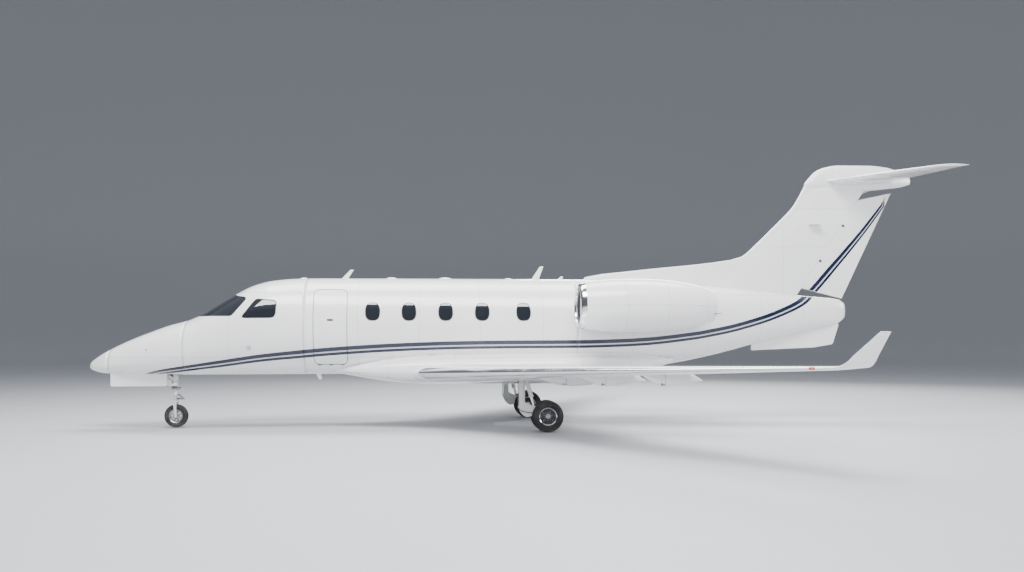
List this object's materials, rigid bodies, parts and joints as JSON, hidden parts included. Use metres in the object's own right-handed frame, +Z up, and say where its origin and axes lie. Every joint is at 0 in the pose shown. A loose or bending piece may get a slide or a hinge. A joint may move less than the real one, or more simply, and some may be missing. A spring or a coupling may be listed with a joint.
{
  "type": "business jet",
  "caption": "Business jet with rear-mounted engines, a T-tail, swept wings with winglets, an airstair door and a furnished cabin.",
  "frame": {"origin": "on the ground under the centre plane, midway between nose and tail", "axes": "+X aft, towards the tail; +Y towards the right wing; +Z up; the nose points to -X"},
  "size_m": [15.7, 15.9098, 5.055],
  "materials": {
    "white_paint": "glossy off-white aircraft paint with navy and silver stripes",
    "polished_metal": "polished engine inlet lip",
    "dark_metal": "heat-stained metal inside the engine",
    "fan_metal": "satin fan and spinner",
    "window_glass": "dark tinted flight-deck glass",
    "wheel_metal": "satin silver wheel and fork",
    "tyre_rubber": "black aircraft tyre",
    "leg_paint": "light grey painted landing gear leg",
    "cabin_trim": "beige cabin lining",
    "cabin_carpet": "taupe carpet on the cabin floor",
    "seat_leather": "beige leather",
    "panel_plastic": "black instrument panel"
  },
  "bodies": {
    "airframe": {"aft_bulkhead": "cabin_trim", "aft_fuselage": "white_paint", "belly_fairing": "white_paint", "cabin_floor": "cabin_carpet", "cabin_seat_front_l": "seat_leather", "cabin_seat_front_r": "seat_leather", "cabin_seat_rear_l": "seat_leather", "cabin_seat_rear_r": "seat_leather", "cabin_shell": "white_paint", "cockpit_shell": "white_paint", "cockpit_window_l": "window_glass", "cockpit_window_r": "window_glass", "cowl_l": "white_paint", "cowl_r": "white_paint", "engine_core_l": "dark_metal", "engine_core_r": "dark_metal", "fin": "white_paint", "fin_cap": "white_paint", "inlet_lip_l": "polished_metal", "inlet_lip_r": "polished_metal", "instrument_panel": "panel_plastic", "main_leg_l": "leg_paint", "main_leg_r": "leg_paint", "nose_door_l": "white_paint", "nose_door_r": "white_paint", "nose_leg": "leg_paint", "nose_section": "white_paint", "pilot_seat_l": "seat_leather", "pilot_seat_r": "seat_leather", "pylon_l": "white_paint", "pylon_r": "white_paint", "radome": "white_paint", "tailplane": "white_paint", "ventral_fin": "white_paint", "windscreen_l": "window_glass", "windscreen_r": "window_glass", "wing_l": "white_paint", "wing_r": "white_paint"},
    "cabin_door": {"cabin_door": "white_paint"},
    "rudder": {"rudder": "white_paint"},
    "nose_fork": {"nose_fork": "wheel_metal"},
    "nose_wheel": {"nose_rim": "wheel_metal", "nose_tyre": "tyre_rubber"},
    "elevator_l": {"elevator_l": "white_paint"},
    "aileron_l": {"aileron_l": "white_paint"},
    "flap_inner_l": {"flap_inner_l": "white_paint"},
    "flap_outer_l": {"flap_outer_l": "white_paint"},
    "fan_l": {"fan_l": "fan_metal"},
    "main_wheel_l": {"main_rim_l": "wheel_metal", "main_tyre_inner_l": "tyre_rubber", "main_tyre_outer_l": "tyre_rubber"},
    "elevator_r": {"elevator_r": "white_paint"},
    "aileron_r": {"aileron_r": "white_paint"},
    "flap_inner_r": {"flap_inner_r": "white_paint"},
    "flap_outer_r": {"flap_outer_r": "white_paint"},
    "fan_r": {"fan_r": "fan_metal"},
    "main_wheel_r": {"main_rim_r": "wheel_metal", "main_tyre_inner_r": "tyre_rubber", "main_tyre_outer_r": "tyre_rubber"}
  },
  "joints": [
    {"name": "cabin_door_hinge", "type": "hinge", "parent": "airframe", "child": "cabin_door", "pos_m": [-3.479, -0.574, 1.159], "axis": [1, 0, 0], "range_deg": [0, 115]},
    {"name": "rudder_hinge", "type": "hinge", "parent": "airframe", "child": "rudder", "pos_m": [6.13814, 0, 3.4], "axis": [0.5543, 0, 0.8323], "range_deg": [-25, 25]},
    {"name": "elevator_hinge_l", "type": "hinge", "parent": "airframe", "child": "elevator_l", "pos_m": [7.21309, -1.22, 4.69638], "axis": [-0.2147, 0.9763, 0.0269], "range_deg": [-25, 15]},
    {"name": "elevator_hinge_r", "type": "hinge", "parent": "airframe", "child": "elevator_r", "pos_m": [7.21309, 1.22, 4.69638], "axis": [0.2147, 0.9763, -0.0269], "range_deg": [-25, 15]},
    {"name": "aileron_hinge_l", "type": "hinge", "parent": "airframe", "child": "aileron_l", "pos_m": [2.54482, -6, 1.25861], "axis": [-0.4709, 0.8812, -0.0428], "range_deg": [-20, 20]},
    {"name": "aileron_hinge_r", "type": "hinge", "parent": "airframe", "child": "aileron_r", "pos_m": [2.54482, 6, 1.25861], "axis": [0.4709, 0.8812, 0.0428], "range_deg": [-20, 20]},
    {"name": "flap_inner_hinge_l", "type": "hinge", "parent": "airframe", "child": "flap_inner_l", "pos_m": [0.611, -2.12388, 0.87052], "axis": [-0.3513, 0.9352, -0.0451], "range_deg": [0, 35]},
    {"name": "flap_inner_hinge_r", "type": "hinge", "parent": "airframe", "child": "flap_inner_r", "pos_m": [0.611, 2.12388, 0.87052], "axis": [0.3513, 0.9352, 0.0451], "range_deg": [0, 35]},
    {"name": "flap_outer_hinge_l", "type": "hinge", "parent": "airframe", "child": "flap_outer_l", "pos_m": [1.50256, -4.1092, 0.9666], "axis": [-0.4747, 0.8791, -0.0427], "range_deg": [0, 35]},
    {"name": "flap_outer_hinge_r", "type": "hinge", "parent": "airframe", "child": "flap_outer_r", "pos_m": [1.50256, 4.1092, 0.9666], "axis": [0.4747, 0.8791, 0.0427], "range_deg": [0, 35]},
    {"name": "fan_spin_l", "type": "hinge", "parent": "airframe", "child": "fan_l", "pos_m": [1.35, -1.4, 2.215], "axis": [1, 0, 0], "continuous": true},
    {"name": "fan_spin_r", "type": "hinge", "parent": "airframe", "child": "fan_r", "pos_m": [1.35, 1.4, 2.215], "axis": [1, 0, 0], "continuous": true},
    {"name": "nose_steer", "type": "hinge", "parent": "airframe", "child": "nose_fork", "pos_m": [-6.35, 0, 0.66], "axis": [0, 0, 1], "range_deg": [-50, 50]},
    {"name": "nose_wheel_spin", "type": "hinge", "parent": "nose_fork", "child": "nose_wheel", "pos_m": [-6.335, 0, 0.212], "axis": [0, 1, 0], "continuous": true},
    {"name": "main_wheel_spin_l", "type": "hinge", "parent": "airframe", "child": "main_wheel_l", "pos_m": [0.334, -1.427, 0.275], "axis": [0, 1, 0], "continuous": true},
    {"name": "main_wheel_spin_r", "type": "hinge", "parent": "airframe", "child": "main_wheel_r", "pos_m": [0.334, 1.427, 0.275], "axis": [0, 1, 0], "continuous": true}
  ],
  "couplings": [
    {"joint": "elevator_hinge_r", "follows": "elevator_hinge_l", "ratio": 1},
    {"joint": "aileron_hinge_r", "follows": "aileron_hinge_l", "ratio": -1},
    {"joint": "flap_inner_hinge_r", "follows": "flap_inner_hinge_l", "ratio": 1},
    {"joint": "flap_outer_hinge_l", "follows": "flap_inner_hinge_l", "ratio": 1},
    {"joint": "flap_outer_hinge_r", "follows": "flap_inner_hinge_l", "ratio": 1}
  ]
}
